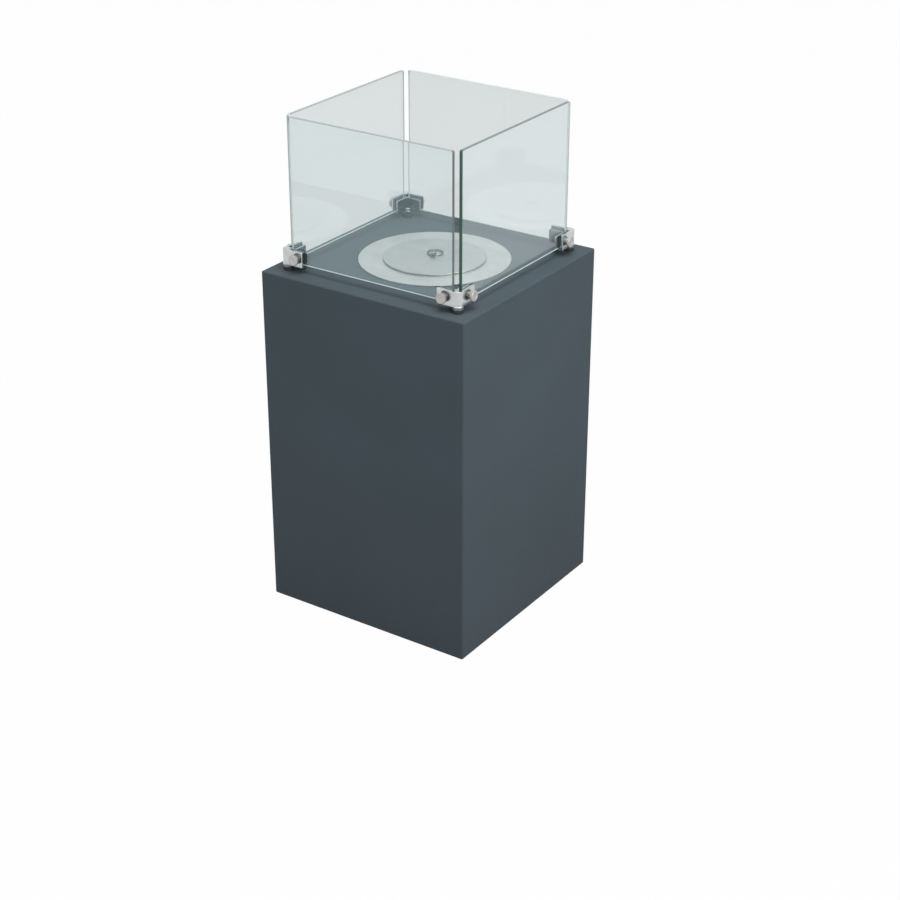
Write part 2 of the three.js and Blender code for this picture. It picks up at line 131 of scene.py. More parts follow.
FIXING_PLACE = 14.5
FIXING_RADIUS = 2.5
FIXING_HEAD_RADIUS = 4.5
FIXING_HEAD_HEIGHT = 3.6
FIXING_TAIL = -26.3
FIXING_PITCH = 0.8
SOCKET_ACROSS_FLATS = 3.0
SOCKET_DEPTH = 2.0
NUT_TOP = -20.3
NUT_HEIGHT = 4.0
NUT_ACROSS_FLATS = 8.0
NUT_FLANGE_RADIUS = 5.75
NUT_FLANGE = 1.2

BURNER_RIGHT = 3.0
BURNER_BACK = 5.5
FLANGE_RADIUS = 110.0
FLANGE_BOTTOM = 535.8
FLANGE_TOP = 537.8
MOUTH_RADIUS = 70.0
CAN_RADIUS = 100.0
CAN_WALL = 1.2
CAN_BOTTOM = 455.8
WOOL_BOTTOM = 457.3
WOOL_TOP = 507.3
WOOL_RADIUS = 98.2
WOOL_SINK = 0.9  # the deepest that a spot of its surface sinks
WOOL_TOP_SKIN = 8.0
WOOL_SIDE_SKIN = 6.0
SCREEN_BOTTOM = 507.6
SCREEN_TOP = 508.8
SCREEN_HOLE_RADIUS = 2.5
SCREEN_PITCH = 8.0
SCREEN_RIM = 6.0
RIM_BEVEL = 0.45  # how far in from a cut edge its own material, a duller steel painted darker for shade, reaches

LID_RADIUS = 74.0
LID_BOTTOM = 538.1
LID_TOP = 540.5
GUIDE_OUTER = 68.5
GUIDE_INNER = 67.0
GUIDE_BOTTOM = 534.6
HANDLE_TURN = 21.0
RING_RADIUS = 11.4
WIRE_RADIUS = 1.1
CLIP_WIDTH = 6.0
CLIP_INNER = 1.85
CLIP_THICKNESS = 1.2
CLIP_HEIGHT = 6.8
CLIP_FOOT = 4.5

MM = Matrix.Scale(0.001, 4)
OVERRUN = 5.0  # how far a cutter runs past the pedestal's roof
FACE_SLACK = 0.2  # keeps the faces at a limit apart from those past it when they are marked

CORNERS = {
    "front_right": (1, -1, 0.0),
    "back_right": (1, 1, 90.0),
    "back_left": (-1, 1, 180.0),
    "front_left": (-1, -1, -90.0),
}
WINGS = {"a": (180.0, 1), "b": (-90.0, -1)}
SIDES = {"front": 0.0, "right": 90.0, "back": 180.0, "left": -90.0}


# ---------------------------------------------------------------- materials


class Shader:
    """A node material that is built up from noise, bumps and mixes on one Principled BSDF."""

    def __init__(self, name):
        self.material = bpy.data.materials.new(name)
        self.material.use_nodes = True
        self.nodes = self.material.node_tree.nodes
        self.links = self.material.node_tree.links
        self.surface = self.nodes["Principled BSDF"]
        self.output = self.nodes["Material Output"]
        self.place = self.nodes.new("ShaderNodeTexCoord").outputs["Object"]

    def set(self, **values):
        for key, value in values.items():
            self.surface.inputs[key.replace("_", " ")].default_value = value

    def link(self, source, target):
        self.links.new(source, target)

    def feed(self, source, key):
        self.link(source, self.surface.inputs[key])

    def scaled(self, scale):
        node = self.nodes.new("ShaderNodeMapping")
        node.inputs["Scale"].default_value = scale
        self.link(self.place, node.inputs["Vector"])
        return node.outputs["Vector"]

    def noise(self, scale, detail=4.0, roughness=0.55, vector=None, distortion=0.0):
        node = self.nodes.new("ShaderNodeTexNoise")
        node.inputs["Scale"].default_value = scale
        node.inputs["Detail"].default_value = detail
        node.inputs["Roughness"].default_value = roughness
        node.inputs["Distortion"].default_value = distortion
        self.link(vector or self.place, node.inputs["Vector"])
        return node.outputs["Fac"]

    def cells(self, scale):
        node = self.nodes.new("ShaderNodeTexVoronoi")
        node.inputs["Scale"].default_value = scale
        self.link(self.place, node.inputs["Vector"])
        return node.outputs["Distance"]

    def ramp(self, source, low, high, first=0.0, last=1.0):
        node = self.nodes.new("ShaderNodeMapRange")
        node.inputs["From Min"].default_value = low
        node.inputs["From Max"].default_value = high
        node.inputs["To Min"].default_value = first
        node.inputs["To Max"].default_value = last
        self.link(source, node.inputs["Value"])
        return node.outputs["Result"]

    def math(self, operation, first, second):
        node = self.nodes.new("ShaderNodeMath")
        node.operation = operation
        for slot, value in zip(node.inputs, (first, second)):
            if isinstance(value, (int, float)):
                slot.default_value = value
            else:
                self.link(value, slot)
        return node.outputs["Value"]

    def blend(self, factor, first, second):
        node = self.nodes.new("ShaderNodeMix")
        node.data_type = "RGBA"
        self.link(factor, node.inputs["Factor"])
        for slot, value in ((node.inputs[6], first), (node.inputs[7], second)):
            if isinstance(value, tuple):
                slot.default_value = (*value, 1.0)
            else:
                self.link(value, slot)
        return node.outputs[2]

    def bump(self, height, distance, strength=1.0, below=None):
        node = self.nodes.new("ShaderNodeBump")
        node.inputs["Distance"].default_value = distance
        node.inputs["Strength"].default_value = strength
        self.link(height, node.inputs["Height"])
        if below is not None:
            self.link(below, node.inputs["Normal"])
        return node.outputs["Normal"]

    def height(self, low, high, first, last):
        """Runs from first to last between two heights in metres."""
        node = self.nodes.new("ShaderNodeSeparateXYZ")
        self.link(self.place, node.inputs["Vector"])
        return self.ramp(node.outputs["Z"], low, high, first, last)

    def edges(self, low=0.505, high=0.56):
        """How sharply the surface stands out, from 0 on flats to 1 on edges."""
        geometry = self.nodes.new("ShaderNodeNewGeometry")
        return self.ramp(geometry.outputs["Pointiness"], low, high)


def srgb(red, green, blue):
    """An 8-bit display colour as linear light."""
    linear = []
    for value in (red, green, blue):
        part = value / 255
        linear.append(part / 12.92 if part <= 0.04045 else ((part + 0.055) / 1.055) ** 2.4)
    return tuple(linear)


def concrete():
    s = Shader("cast_concrete")
    cloud = s.noise(7.0, 3.0, 0.5)
    speck = s.noise(420.0, 3.0, 0.6)
    grain = s.noise(1500.0, 2.0, 0.6)
    base = s.blend(s.ramp(cloud, 0.35, 0.65), srgb(64, 76, 83), srgb(67, 79, 87))
    tinted = s.blend(s.ramp(speck, 0.55, 0.8, 0.0, 0.35), base, srgb(84, 93, 99))
    dark = s.blend(s.ramp(grain, 0.25, 0.45, 0.3, 0.0), tinted, srgb(46, 54, 60))
    worn = s.blend(s.math("MULTIPLY", s.edges(), 0.18), dark, srgb(98, 107, 112))
    # Painted shade: the casting's colour is darkened towards the floor, where less light falls on it.
    s.feed(s.blend(s.height(0.0, 0.3, 0.22, 0.0), worn, srgb(20, 24, 27)), "Base Color")
    s.feed(s.ramp(speck, 0.3, 0.7, 0.72, 0.88), "Roughness")
    s.set(Specular_IOR_Level=0.35)
    pits = s.ramp(s.cells(160.0), 0.0, 0.12)
    first = s.bump(pits, 0.0004, 0.35)
    second = s.bump(s.noise(60.0, 4.0, 0.5), 0.0006, 0.25, first)
    s.feed(s.bump(grain, 0.00025, 0.5, second), "Normal")
    return s.material


def rubber():
    s = Shader("black_rubber")
    fine = s.noise(2400.0, 2.0)
    s.feed(s.blend(s.noise(90.0), srgb(33, 43, 43), srgb(46, 58, 58)), "Base Color")
    s.feed(s.ramp(fine, 0.3, 0.7, 0.55, 0.75), "Roughness")
    s.feed(s.bump(fine, 0.0001, 0.4), "Normal")
    return s.material


def steel(name, low, high, roughness, grain, brushed=None):
    """Steel in two tones, with a range of roughness and a grain, in streaks if brushed is given."""
    s = Shader(name)
    vector = s.scaled(brushed) if brushed else None
    streak = s.noise(grain, 3.0, 0.6, vector)
    smudge = s.noise(35.0, 3.0, 0.6)
    s.set(Metallic=1.0)
    s.feed(s.blend(s.ramp(smudge, 0.3, 0.7), low, high), "Base Color")
    s.feed(s.ramp(streak, 0.25, 0.75, *roughness), "Roughness")
    s.feed(s.bump(streak, 0.00004, 0.35), "Normal")
    return s.material


def wool_fibre():
    s = Shader("ceramic_wool")
    strands = s.noise(260.0, 6.0, 0.7, s.scaled((1.0, 4.0, 1.0)), 1.5)
    tufts = s.noise(60.0, 5.0, 0.6)
    s.feed(s.blend(s.ramp(strands, 0.3, 0.7), srgb(206, 203, 195), srgb(242, 240, 235)), "Base Color")
    s.set(Roughness=1.0, Sheen_Weight=0.4)
    s.feed(s.bump(strands, 0.0008, 0.7, s.bump(tufts, 0.002, 0.5)), "Normal")
    return s.material


def light_passes(s, tint):
    """Lets lamplight through the glass, tinted, so that what stands behind it is lit."""
    path = s.nodes.new("ShaderNodeLightPath")
    clear = s.nodes.new("ShaderNodeBsdfTransparent")
    clear.inputs["Color"].default_value = (*tint, 1.0)
    either = s.math("MAXIMUM", path.outputs["Is Shadow Ray"], path.outputs["Is Diffuse Ray"])
    mix = s.nodes.new("ShaderNodeMixShader")
    s.link(either, mix.inputs["Fac"])
    s.link(s.surface.outputs["BSDF"], mix.inputs[1])
    s.link(clear.outputs["BSDF"], mix.inputs[2])
    s.link(mix.outputs["Shader"], s.output.inputs["Surface"])


def pane_glass():
    s = Shader("clear_glass")
    s.set(Base_Color=(0.94, 0.98, 0.985, 1.0), Transmission_Weight=0.955, IOR=1.55)
    s.set(Specular_Tint=(0.6, 0.92, 1.0, 1.0))
    s.feed(s.ramp(s.noise(25.0), 0.3, 0.7, 0.0, 0.003), "Roughness")
    light_passes(s, (0.9, 0.94, 0.93))
    return s.material


def edge_glass(name, low, high):
    """A ground edge of the glass, opaque, in tones between low and high; the tones are painted light, the
    glow and shade that a glass edge shows.
    """
    s = Shader(name)
    tone = s.noise(900.0, 3.0)
    s.set(IOR=1.5)
    s.feed(s.blend(tone, low, high), "Base Color")
    s.feed(s.ramp(tone, 0.3, 0.7, 0.3, 0.45), "Roughness")
    return s.material


BRUSHED = (40.0, 1400.0, 40.0)  # the grain's scale along X, Y and Z, which makes streaks along X

CONCRETE = concrete()
RUBBER = rubber()
BURNER_STEEL = steel("burner_steel", srgb(197, 200, 198), srgb(210, 213, 211), (0.34, 0.5), 1.0, BRUSHED)
LID_STEEL = steel("lid_steel", srgb(184, 187, 186), srgb(197, 200, 199), (0.34, 0.5), 1.0, BRUSHED)
CLAMP_STEEL = steel("satin_steel", srgb(186, 191, 192), srgb(202, 206, 207), (0.15, 0.25), 900.0)
THUMB_STEEL = steel("thumbscrew_steel", srgb(170, 169, 167), srgb(189, 187, 185), (0.3, 0.45), 1300.0)
ZINC_STEEL = steel("zinc_steel", srgb(150, 152, 150), srgb(172, 174, 172), (0.3, 0.5), 700.0)
BRIGHT_STEEL = steel("bright_steel", srgb(150, 154, 154), srgb(170, 173, 173), (0.28, 0.38), 900.0)
# Painted shade: a darker steel for the burner's and lid's cut rims, which are also duller, and for the
# clamps' feet.
RIM_AND_FOOT_SHADE_STEEL = steel("rim_and_foot_shade_steel", srgb(140, 144, 143), srgb(160, 164, 163), (0.35, 0.5), 900.0)
# Painted shade and painted dark reflection, for the clamps' bosses and the walls behind the glass.
SHADED_STEEL = steel("shaded_steel", srgb(112, 124, 130), srgb(126, 138, 143), (0.2, 0.3), 900.0)
# Painted reflection: the ring's and clip's steel is darkened to stand for the dark surroundings they
# reflect.
RING_STEEL = steel("ring_steel", srgb(112, 115, 114), srgb(140, 143, 142), (0.3, 0.42), 900.0)
WOOL = wool_fibre()
PANE_GLASS = pane_glass()
# Painted light on the glass's edges: pale tones for glow and highlight, grey and green for shade seen
# through the pane.
MILD_EDGE = edge_glass("mild_edge", srgb(138, 149, 147), srgb(160, 171, 169))
GREY_EDGE = edge_glass("grey_edge", srgb(92, 104, 101), srgb(120, 132, 129))
GREEN_EDGE = edge_glass("green_edge", srgb(50, 88, 74), srgb(66, 104, 90))
PALE_EDGE = edge_glass("pale_edge", srgb(188, 200, 198), srgb(214, 224, 222))


# ---------------------------------------------------------------- mesh helpers


def mesh_object(name, vertices, faces, indices=None):
    mesh = bpy.data.meshes.new(name)
    mesh.from_pydata(vertices, [], faces)
    if indices:
        mesh.polygons.foreach_set("material_index", indices)
    mesh.update()
    piece = bpy.data.objects.new(name, mesh)
    bpy.context.scene.collection.objects.link(piece)
    return piece


def corner_arc(before, here, after, radius, steps):
    """Points of an arc that rounds the corner at here."""
    toward = (before - here).normalized()
    onward = (after - here).normalized()
    half = toward.angle(onward) / 2
    centre = here + (toward + onward).normalized() * (radius / math.sin(half))
    reach = radius / math.tan(half)
    start = here + toward * reach - centre
    end = here + onward * reach - centre
    first = math.atan2(start.y, start.x)
    sweep = math.atan2(start.x * end.y - start.y * end.x, start.dot(end))
    points = []
    for step in range(steps + 1):
        angle = first + sweep * step / steps
        points.append((centre.x + radius * math.cos(angle), centre.y + radius * math.sin(angle)))
    return points


def rounded(points, radii, steps=4, closed=True):
    """A polygon or open line with rounded corners. radii is one value, or one for each corner."""
    if not isinstance(radii, (list, tuple)):
        radii = [radii] * len(points)
    result = []
    count = len(points)
    for index, radius in enumerate(radii):
        end = not closed and index in (0, count - 1)
        if radius == 0 or end:
            result.append(tuple(points[index]))
            continue
        before = Vector(points[index - 1])
        after = Vector(points[(index + 1) % count])
        result += corner_arc(before, Vector(points[index]), after, radius, steps)
    return result


def rectangle(width, depth, radius, steps=8):
    x, y = width / 2, depth / 2
    return rounded([(-x, -y), (x, -y), (x, y), (-x, y)], radius, steps)


def circle(radius, count):
    points = []
    for index in range(count):
        angle = 2 * math.pi * index / count
        points.append((radius * math.cos(angle), radius * math.sin(angle)))
    return points


def hexagon(across_flats):
    return circle(across_flats / 2 / math.cos(math.pi / 6), 6)


def signed_area(outline):
    total = 0.0
    for (x0, y0), (x1, y1) in zip(outline, outline[1:] + outline[:1]):
        total += x0 * y1 - x1 * y0
    return total / 2


def inset(outline, distance):
    """The outline moved inward. It runs anticlockwise."""
    result = []
    count = len(outline)
    for index in range(count):
        here = Vector(outline[index])
        before = (here - Vector(outline[index - 1])).normalized()
        after = (Vector(outline[(index + 1) % count]) - here).normalized()
        first = Vector((-before.y, before.x))
        second = Vector((-after.y, after.x))
        offset = (first + second) * (distance / (1 + first.dot(second)))
        result.append((here.x + offset.x, here.y + offset.y))
    return result


def slab(name, outline, bottom, top, edge, steps=4, side_index=0):
    """The outline pulled up from bottom to top, with rounded rims. Rims and sides take side_index."""
    if signed_area(outline) < 0:
        outline = outline[::-1]
    quarter = math.pi / 2
    layers = []
    for step in range(steps + 1):
        angle = quarter * step / steps
        layers.append((edge * (1 - math.sin(angle)), bottom + edge * (1 - math.cos(angle))))
    for step in range(steps, -1, -1):
        angle = quarter * step / steps
        layers.append((edge * (1 - math.sin(angle)), top - edge * (1 - math.cos(angle))))
    vertices = []
    for distance, height in layers:
        vertices += [(x, y, height) for x, y in inset(outline, distance)]
    count = len(outline)
    faces = [tuple(range(count - 1, -1, -1))]
    for layer in range(len(layers) - 1):
        low, high = layer * count, (layer + 1) * count
        for index in range(count):
            after = (index + 1) % count
            faces.append((low + index, low + after, high + after, high + index))
    last = (len(layers) - 1) * count
    faces.append(tuple(range(last, last + count)))
    indices = [0] + [side_index] * (len(faces) - 2) + [0]
    return mesh_object(name, vertices, faces, indices)


def drill(radius, bottom, top, segments=32):
    """A round cutter along Z, whose own rims are all but sharp."""
    return slab("drill", circle(radius, segments), bottom, top, 0.1, 1)


def lathe(name, profile, segments=96, closed=False, warp=None):
    """A profile of (radius, height) turned round Z. warp(radius, height, angle) may change the radius."""
    vertices = []
    rows = []
    for radius, height in profile:
        if radius < 1e-6:
            rows.append([len(vertices)] * segments)
            vertices.append((0.0, 0.0, height))
            continue
        row = []
        for index in range(segments):
            angle = 2 * math.pi * index / segments
            reach = warp(radius, height, angle) if warp else radius
            row.append(len(vertices))
            vertices.append((reach * math.cos(angle), reach * math.sin(angle), height))
        rows.append(row)
    faces = []
    pairs = list(zip(rows, rows[1:]))
    if closed:
        pairs.append((rows[-1], rows[0]))
    for low, high in pairs:
        for index in range(segments):
            after = (index + 1) % segments
            corners = [low[index], low[after], high[after], high[index]]
            face = tuple(dict.fromkeys(corners))
            if len(face) > 2:
                faces.append(face)
    return mesh_object(name, vertices, faces)


def moved(piece, *matrices):
    """The piece, with its mesh moved by each matrix in turn."""
    for matrix in matrices:
        piece.data.transform(matrix)
    return piece


def shift(x, y, z):
    return Matrix.Translation((x, y, z))


def turn(degrees, axis="Z"):
    return Matrix.Rotation(math.radians(degrees), 4, axis)


def outward(piece):
    """Turns a closed mesh's normals outward."""
    shape = bmesh.new()
    shape.from_mesh(piece.data)
    bmesh.ops.recalc_face_normals(shape, faces=shape.faces)
    shape.to_mesh(piece.data)
    shape.free()
    return piece


def combine(piece, others, operation):
    """Joins, or cuts with, other closed meshes, which are used up."""
    outward(piece)
    for other in others:
        outward(other)
        modifier = piece.modifiers.new("combine", "BOOLEAN")
        modifier.operation = operation
        modifier.solver = "EXACT"
        modifier.object = other
    bpy.context.view_layer.update()
    shown = piece.evaluated_get(bpy.context.evaluated_depsgraph_get())
    mesh = bpy.data.meshes.new_from_object(shown)
    piece.modifiers.clear()
    piece.data = mesh
    for other in others:
        bpy.data.objects.remove(other)
    return piece


def joined(name, parts):
    """Several meshes as one object."""
    shape = bmesh.new()
    for part in parts:
        shape.from_mesh(part.data)
        bpy.data.objects.remove(part)
    mesh = bpy.data.meshes.new(name)
    shape.to_mesh(mesh)
    shape.free()
    piece = bpy.data.objects.new(name, mesh)
    bpy.context.scene.collection.objects.link(piece)
    return piece


def finished(piece, node, materials, angle=40.0):
    """Shades the piece, gives it its materials, and lets it stand for the node on that node's body."""
    outward(piece)
    mesh = piece.data
    for material in materials:
        mesh.materials.append(material)
    mesh.shade_smooth()
    mesh.set_sharp_from_angle(angle=math.radians(angle))
    weighted = piece.modifiers.new("shading", "WEIGHTED_NORMAL")
    weighted.keep_sharp = True
    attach(piece, BODY_OF[node])
    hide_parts(node)
    return piece


BODY_OF = {node: item.get("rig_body") for node, item in frame["nodes"].items()}


def corner_place(corner):
    side_x, side_y, degrees = CORNERS[corner]
    return shift(side_x * GLASS, side_y * GLASS, PEDESTAL_TOP) @ turn(degrees)


def wing_place(corner, wing):
    """A frame whose +Y points outward from the wing's pane."""
    return corner_place(corner) @ turn(WINGS[wing][0])


def screw_place(corner, wing):
    """A frame whose +Z is the thumbscrew's axis, pointing outward."""
    reach = WINGS[wing][1] * THUMB_REACH
    return wing_place(corner, wing) @ shift(reach, 0, THUMB_HEIGHT) @ turn(-90, "X")


# ---------------------------------------------------------------- pedestal


def make_pedestal():
    shell = slab(
        "pedestal_casting",
        rectangle(PEDESTAL, PEDESTAL, PEDESTAL_CORNER, 10),
        PEDESTAL_BASE,
        PEDESTAL_TOP,
        PEDESTAL_EDGE,
        8,
    )
    inner = PEDESTAL - 2 * PEDESTAL_WALL
    roof = PEDESTAL_TOP - PEDESTAL_ROOF
    cavity_outline = rectangle(inner, inner, CAVITY_CORNER, 12)
    cavity = slab("cavity", cavity_outline, CAVITY_START, roof, CAVITY_EDGE, 5)
    low, high = roof - OVERRUN, PEDESTAL_TOP + OVERRUN
    cutters = [cavity, moved(drill(CUTOUT_RADIUS, low, high, 128), shift(BURNER_RIGHT, BURNER_BACK, 0))]
    place = GLASS - FIXING_PLACE
    for side_x, side_y, _ in CORNERS.values():
        screw_hole = drill(FIXING_RADIUS + FIT, low, high)
        cutters.append(moved(screw_hole, shift(side_x * place, side_y * place, 0)))
        pocket = drill(GLIDE_RADIUS + FIT, -3, GLIDE_HEIGHT + FIT, 48)
        cutters.append(moved(pocket, shift(side_x * GLIDE_PLACE, side_y * GLIDE_PLACE, 0)))
    combine(shell, cutters, "DIFFERENCE")
    moved(shell, MM)
    finished(shell, "pedestal_shell", [CONCRETE], 35)


def make_glides():
    for corner, (side_x, side_y, _) in CORNERS.items():
        profile = rounded(
            [(0, 0), (GLIDE_RADIUS, 0), (GLIDE_RADIUS, GLIDE_HEIGHT), (0, GLIDE_HEIGHT)],
            [0, 0.6, 0.3, 0],
        )
        glide = lathe("glide_pad_" + corner, profile, 48)
        moved(glide, shift(side_x * GLIDE_PLACE, side_y * GLIDE_PLACE, 0), MM)
        finished(glide, "glide_" + corner, [RUBBER])


# ---------------------------------------------------------------- glass


# Which of the edge materials a pane shows at its left end, right end and top. Their tones are painted light
# for one view: pale for glow, grey and green for shade through the pane.
PANE_EDGES = {
    "front": (PALE_EDGE, GREY_EDGE, MILD_EDGE),
    "right": (GREEN_EDGE, PALE_EDGE, GREY_EDGE),
    "back": (PALE_EDGE, PALE_EDGE, PALE_EDGE),
    "left": (PALE_EDGE, PALE_EDGE, MILD_EDGE),
}


def make_panes():
    length = 2 * (GLASS - CORNER_OPENING)
    for side, degrees in SIDES.items():
        outline = rectangle(length, PANE_HEIGHT, PANE_CORNER, 6)
        pane = slab(side + "_glass_sheet", outline, 0, PANE_THICKNESS, PANE_EDGE, 3, 1)
        mark_edges(pane)
        moved(
            pane,
            shift(0, PANE_HEIGHT / 2, 0),
            turn(90, "X"),
            shift(0, -GLASS + PANE_THICKNESS, PEDESTAL_TOP + PANE_BASE),
            turn(degrees),
            MM,
        )
        materials = [PANE_GLASS, PALE_EDGE, *PANE_EDGES[side]]
        finished(pane, side + "_glass_pane", materials, 30)


def mark_edges(pane):
    """Material 1 is the bottom's, a pale painted highlight, and 2, 3 and 4 are those of the left end, the
    right end and the top.
    """
    end = GLASS - CORNER_OPENING - PANE_CORNER
    for face in pane.data.polygons:
        if face.material_index == 0:
            continue
        if abs(face.center.x) > end:
            face.material_index = 3 if face.center.x > 0 else 2
        elif face.center.y > 0:
            face.material_index = 4


# ---------------------------------------------------------------- clamps


def plan(points):
    """Points measured inward from the glass's corner, in the corner's own frame."""
    return [(-u, v) for u, v in points]


def make_clamp(corner):
    centre = CLAMP_CORNER - WING_OUTER
    arc = []
    for step in range(17):
        angle = math.pi + math.pi / 2 * step / 16
        arc.append((centre + CLAMP_CORNER * math.cos(angle), centre + CLAMP_CORNER * math.sin(angle)))
    ends = rounded(
        [
            arc[-1],
            (WING_REACH, -WING_OUTER),
            (WING_REACH, -WING_INNER),
            (POST_INNER, -WING_INNER),
            (POST_INNER, POST_INNER),
            (-WING_INNER, POST_INNER),
            (-WING_INNER, WING_REACH),
            (-WING_OUTER, WING_REACH),
            arc[0],
        ],
        [0, 0.9, 0.75, 0.8, 0.75, 0.8, 0.75, 0.9, 0],
        4,
        closed=False,
    )
    wings = slab("clamp_casting_" + corner, plan(arc + ends[1:-1]), CLAMP_BASE, WING_TOP, 0.55, 4)
    middle = (WING_INNER + WING_OUTER) / 2
    floor = slab(
        "floor",
        rounded(
            plan(
                [
                    (-middle, -middle),
                    (WING_REACH - 0.6, -middle),
                    (WING_REACH - 0.6, WALL_FAR - 0.3),
                    (WALL_FAR - 0.3, WALL_FAR - 0.3),
                    (WALL_FAR - 0.3, WING_REACH - 0.6),
                    (-middle, WING_REACH - 0.6),
                ]
            ),
            [3, 0.4, 0.4, 1, 0.4, 0.4],
        ),
        CLAMP_BASE,
        CLAMP_FLOOR,
        0.3,
        2,
    )
    wall_outline = angle_outline(WALL_NEAR, WALL_FAR, WALL_REACH, 0.7)
    wall = slab("wall", wall_outline, CLAMP_BASE, WALL_TOP, 0.45, 3)
    tab = slab("tab", circle(TAB_RADIUS, 48), CLAMP_BASE, CLAMP_FLOOR, 0.4, 3)
    moved(tab, shift(-FIXING_PLACE, FIXING_PLACE, 0))
    boss = slab("boss", circle(BOSS_RADIUS, 64), FIT, CLAMP_BASE + 1, 0.5, 3)
    moved(boss, shift(-FIXING_PLACE, FIXING_PLACE, 0))
    foot = slab("foot", circle(FOOT_RADIUS, 64), FOOT_BASE, CLAMP_BASE + 1.5, 1.0, 5)
    moved(foot, shift(-FOOT_PLACE, FOOT_PLACE, 0))
    combine(wings, [floor, wall, tab, boss, foot], "UNION")

    bore = drill(FIXING_RADIUS + FIT, -2, CLAMP_FLOOR + 2)
    cutters = [moved(bore, shift(-FIXING_PLACE, FIXING_PLACE, 0))]
    for wing in WINGS:
        outward_place = corner_place(corner).inverted() @ screw_place(corner, wing)
        bore = drill(THREAD_RADIUS + FIT, -1, WING_OUTER + 2)
        recess = drill(PAD_RADIUS + FIT, STRIP_OUTER - 1, WING_INNER + RECESS_DEPTH, 48)
        cutters.append(moved(bore, outward_place))
        cutters.append(moved(recess, outward_place))
    combine(wings, cutters, "DIFFERENCE")
    mark_clamp(wings)
    moved(wings, corner_place(corner), MM)
    finished(wings, "clamp_" + corner, [CLAMP_STEEL, RIM_AND_FOOT_SHADE_STEEL, SHADED_STEEL])


def mark_clamp(clamp):
    """Material 1 is the foot's and material 2 that of the boss and of the walls' sides behind the glass,
    both darker steel for painted shade and painted dark reflection.
    """
    for face in clamp.data.polygons:
        inward = min(-face.center.x, face.center.y)
        if face.center.z < CLAMP_BASE - FACE_SLACK:
            face.material_index = 2 if inward > FOOT_RADIUS else 1
        elif inward > WALL_FAR - FACE_SLACK and abs(face.normal.z) < 0.5:
            face.material_index = 2


def angle_outline(near, far, reach, radius):
    """Two legs at a right angle behind the glass, with rounded corners."""
    points = [(near, near), (reach, near), (reach, far), (far, far), (far, reach), (near, reach)]
    return rounded(plan(points), [radius, radius, radius, 0.8, radius, radius])


def make_foot_rubber(corner):
    profile = rounded(
        [(0, FIT), (FOOT_RUBBER_RADIUS, FIT), (FOOT_RUBBER_RADIUS, FOOT_RUBBER_TOP), (0, FOOT_RUBBER_TOP)],
        [0, 0.5, 0.6, 0],
    )
    disc = lathe("foot_disc_" + corner, profile, 64)
    moved(disc, shift(-FOOT_PLACE, FOOT_PLACE, 0), corner_place(corner), MM)
    finished(disc, "foot_rubber_" + corner, [RUBBER])


def make_inner_rubber(corner):
    outline = angle_outline(INNER_STRIP_NEAR, INNER_STRIP_FAR, INNER_STRIP_REACH, 0.45)
    strip = slab("inner_strip_" + corner, outline, INNER_STRIP_BASE, INNER_STRIP_TOP, 0.3, 3)
    moved(strip, corner_place(corner), MM)
    finished(strip, "inner_rubber_" + corner, [RUBBER])


def make_outer_rubber(corner, wing):
    along = WINGS[wing][1]
    near, far = along * CORNER_OPENING, along * STRIP_REACH
    outline = rounded(
        [(near, STRIP_BASE), (far, STRIP_BASE), (far, WING_TOP), (near, WING_TOP)], 0.7
    )
    strip = slab("outer_strip_" + corner + "_" + wing, outline, 0, STRIP_OUTER - FIT, 0.35, 3)
    hole = drill(PAD_RADIUS + FIT, -1, 3, 48)
    moved(hole, shift(along * THUMB_REACH, THUMB_HEIGHT, 0))
    combine(strip, [hole], "DIFFERENCE")
    moved(strip, turn(90, "X"), shift(0, STRIP_OUTER, 0), wing_place(corner, wing), MM)
    node = "outer_rubber_" + corner + "_" + wing
    finished(strip, node, [RUBBER])


def make_pad(corner, wing):
    profile = rounded(
        [(0, FIT), (PAD_RADIUS, FIT), (PAD_RADIUS, STRIP_OUTER), (0, STRIP_OUTER)], [0, 0.3, 0.2, 0], 3
    )
    pad = lathe("pad_disc_" + corner + "_" + wing, profile, 64)
    moved(pad, screw_place(corner, wing), MM)
    finished(pad, "pressure_pad_" + corner + "_" + wing, [ZINC_STEEL])


def helix(pitch, depth, limit):
    """A warp that cuts a thread of this depth into the surface whose radius is the limit."""

    def warp(radius, height, angle):
        if radius > limit + 1e-6 or radius < limit - depth - 1e-6:
            return radius
        phase = (height / pitch - angle / (2 * math.pi)) % 1.0
        return radius - depth * abs(2 * phase - 1)

    return warp


def knurl(count, depth, inner, outer, radius_at_least):
    """A warp that cuts straight ribs into a rim between two heights."""

    def warp(radius, height, angle):
        if radius < radius_at_least or not inner <= height <= outer:
            return radius
        phase = (angle * count / (2 * math.pi)) % 1.0
        return radius - depth * (1 - abs(2 * phase - 1)) ** 0.8

    return warp


